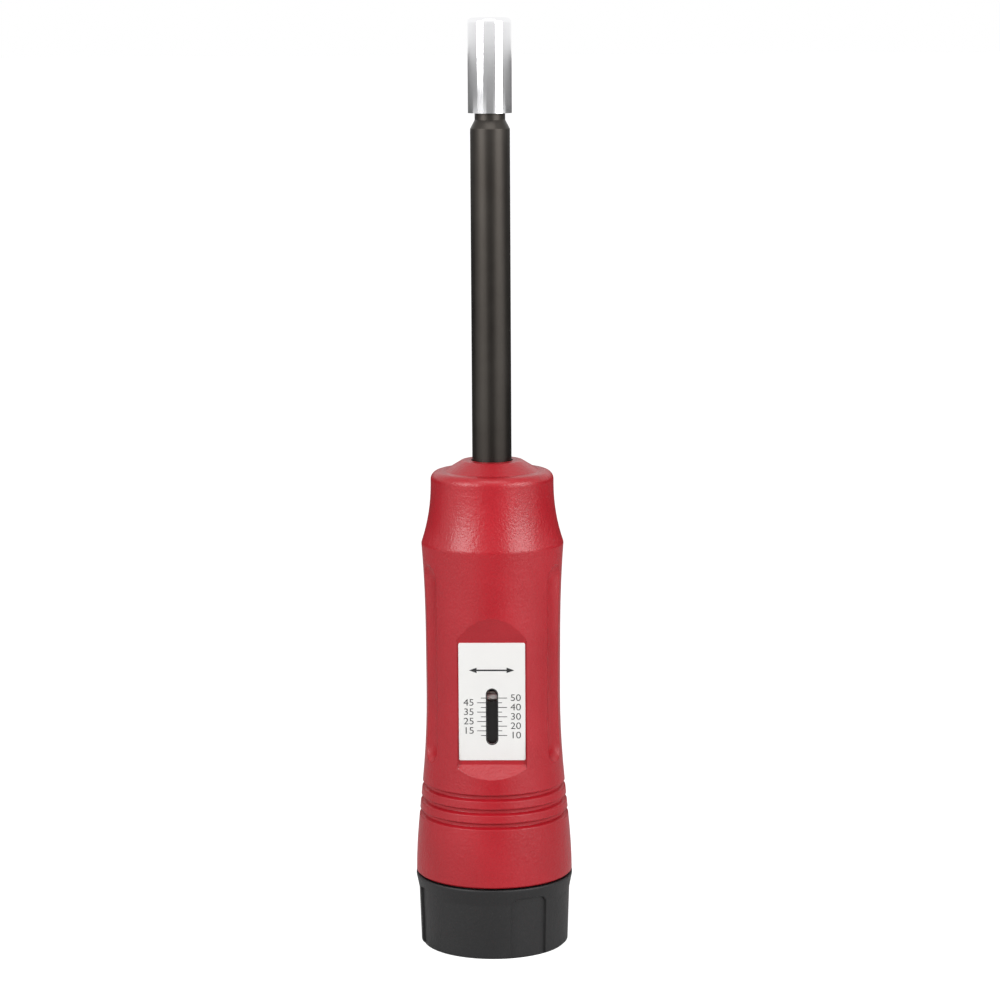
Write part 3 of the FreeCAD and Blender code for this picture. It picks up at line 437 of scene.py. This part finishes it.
held = maths(coil, "MINIMUM", maths(coil, "MAXIMUM", spot[2], size["Bottom"]), size["Top"])
flat_ends = add(coil, "ShaderNodeCombineXYZ", {0: spot[0], 1: spot[1], 2: held})
ground = add(coil, "GeometryNodeSetPosition", {"Geometry": wire.outputs[0], "Position": flat_ends.outputs[0]})
smooth = add(coil, "GeometryNodeSetShadeSmooth", {"Geometry": ground.outputs[0]})
close_tree(coil, smooth.outputs[0], size["Material"])

# %% Make the spring where the imported one stands, between the nut and the housing
spring = piece_from(coil, "smooth_spring", Bottom=spring_low.z, Top=spring_high.z,
                    **{"Start Angle": math.radians(-139.0), "Material": finishes["spring_steel"]})
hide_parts("main_spring")
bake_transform(spring)

# %% [markdown]
# ## The floor and the light
#
# The tool stands on a pale floor in plain, soft studio light. Two broad lamps stand left and
# right in front, so each round piece gets a long highlight on both sides and stays darker in
# the middle, and a third hangs above. The far background looks white to the camera and to
# reflections, and the floor looks white to the camera.

# %% White background and soft ambient light
world = bpy.data.worlds.new("studio")
bpy.context.scene.world = world
world.use_nodes = True
tree = world.node_tree
rays = add(tree, "ShaderNodeLightPath").outputs
background = tree.nodes["Background"]
background.inputs["Color"].default_value = (1, 1, 1, 1)
straight_on = maths(tree, "MAXIMUM", rays["Is Camera Ray"], rays["Is Transmission Ray"])
seen = maths(tree, "MAXIMUM", straight_on, rays["Is Glossy Ray"])
strength = add(tree, "ShaderNodeMapRange", {"Value": seen, 3: 0.17, 4: 1.0})
tree.links.new(strength.outputs[0], background.inputs["Strength"])

# %% A floor that stays white and keeps the tool's shadow
floor_mesh = bpy.data.meshes.new("floor")
reach = 30.0
corners = [(-reach, -reach, 0), (reach, -reach, 0), (reach, reach, 0), (-reach, reach, 0)]
floor_mesh.from_pydata(corners, [], [(0, 1, 2, 3)])
floor = bpy.data.objects.new("floor", floor_mesh)
bpy.context.scene.collection.objects.link(floor)
paper = bpy.data.materials.new("white paper")
paper.use_nodes = True
tree = paper.node_tree
surface = tree.nodes["Principled BSDF"]
surface.inputs["Roughness"].default_value = 0.9
surface.inputs["Emission Color"].default_value = (1, 1, 1, 1)
from_camera = add(tree, "ShaderNodeLightPath").outputs["Is Camera Ray"]
tree.links.new(maths(tree, "MULTIPLY", from_camera, 0.95), surface.inputs["Emission Strength"])
shade = add(tree, "ShaderNodeMapRange", {"Value": from_camera, 3: 0.7, 4: 0.3})
tree.links.new(shade.outputs[0], surface.inputs["Base Color"])
floor_mesh.materials.append(paper)

# %% Soft lamps, each given by its bearing, height angle, size and brightness
LIT = Vector((0, 0, 0.105))


def around(bearing, rise, far):
    """A place seen from the collar: bearing is 0 in front and grows to the right, in degrees."""
    turn, lift = math.radians(bearing), math.radians(rise)
    level = math.cos(lift)
    return LIT + far * Vector((level * math.sin(turn), -level * math.cos(turn), math.sin(lift)))


def soft_lamp(name, bearing, rise, far, width, height, brightness):
    lamp = bpy.data.lights.new(name, "AREA")
    lamp.shape, lamp.size, lamp.size_y = "RECTANGLE", width, height
    lamp.energy = brightness * math.pi * width * height
    holder = bpy.data.objects.new(name, lamp)
    bpy.context.scene.collection.objects.link(holder)
    holder.location = around(bearing, rise, far)
    holder.rotation_euler = (LIT - holder.location).to_track_quat("-Z", "Y").to_euler()
    holder.visible_camera = False
    print(name, round(lamp.energy, 2), "W")


soft_lamp("left lamp", -50, 22, 0.62, 0.37, 0.28, 7.2)
soft_lamp("right lamp", 52, 18, 0.62, 0.41, 0.36, 6.0)
soft_lamp("top lamp", 0, 64, 0.7, 0.5, 0.25, 3.6)

# %% [markdown]
# Bright plating shows whatever stands round it. In a plain white room it would look like paper,
# so photographers put white, grey and black cards round the set. Only reflections see these
# cards. They end below the height of the sleeve, so they shape the shine of the shaft most.

# %% Cards that only reflections see
def card_wall(name, from_bearing, to_bearing, low, high, far, brightness):
    count = 12
    mesh = bpy.data.meshes.new(name)
    step = (to_bearing - from_bearing) / count
    bearings = [math.radians(from_bearing + step * i) for i in range(count + 1)]
    mesh.from_pydata([(far * math.sin(t), -far * math.cos(t), z) for z in (low, high) for t in bearings], [],
                     [(i, i + 1, count + 2 + i, count + 1 + i) for i in range(count)])
    paint = bpy.data.materials.new(name)
    paint.use_nodes = True
    surface = paint.node_tree.nodes["Principled BSDF"]
    surface.inputs["Base Color"].default_value = (0, 0, 0, 1)
    surface.inputs["Specular IOR Level"].default_value = 0.0
    surface.inputs["Emission Color"].default_value = (1, 1, 1, 1)
    surface.inputs["Emission Strength"].default_value = brightness
    mesh.materials.append(paint)
    wall = bpy.data.objects.new(name, mesh)
    bpy.context.scene.collection.objects.link(wall)
    wall.visible_camera = wall.visible_diffuse = wall.visible_shadow = wall.visible_transmission = False
    print(name, "from", from_bearing, "to", to_bearing, "degrees")


card_wall("grey card", -17, 21, 0.0, 0.19, 0.25, 0.2)
card_wall("left white card", -98, -17, 0.03, 0.19, 0.5, 1.1)
card_wall("right white card", 21, 90, 0.03, 0.19, 0.5, 1.1)
card_wall("black card", 90, 262, 0.03, 0.19, 0.5, 0.05)

# %% [markdown]
# ## The camera
#
# A long lens stands a little above the tool's middle and looks slightly down on it. The tool
# leans a hair to the left in the frame, so the camera is rolled by as much. It also stands a
# degree to the right of the scale.

# %% Place the camera
AIM = Vector((0.0019, 0.0, 0.1099))
DISTANCE = 0.74
PITCH = math.radians(8.7)
TURN = math.radians(1.2)
ROLL = math.radians(-0.32)
SENSOR = 36.0
LENS_TO_SENSOR = 3.05
forward = Matrix.Rotation(TURN, 3, "Z") @ Vector((0, math.cos(PITCH), -math.sin(PITCH)))
lens = bpy.data.cameras.new("camera")
lens.sensor_width = SENSOR
lens.lens = LENS_TO_SENSOR * SENSOR
camera = bpy.data.objects.new("camera", lens)
bpy.context.scene.collection.objects.link(camera)
straight = forward.to_track_quat("-Z", "Y").to_matrix().to_4x4()
roll = Matrix.Rotation(ROLL, 4, "Z")
camera.matrix_world = Matrix.Translation(AIM - forward * DISTANCE) @ straight @ roll
bpy.context.scene.camera = camera
bpy.context.scene.view_settings.view_transform = "Standard"
print("camera at", [round(x, 3) for x in camera.location])
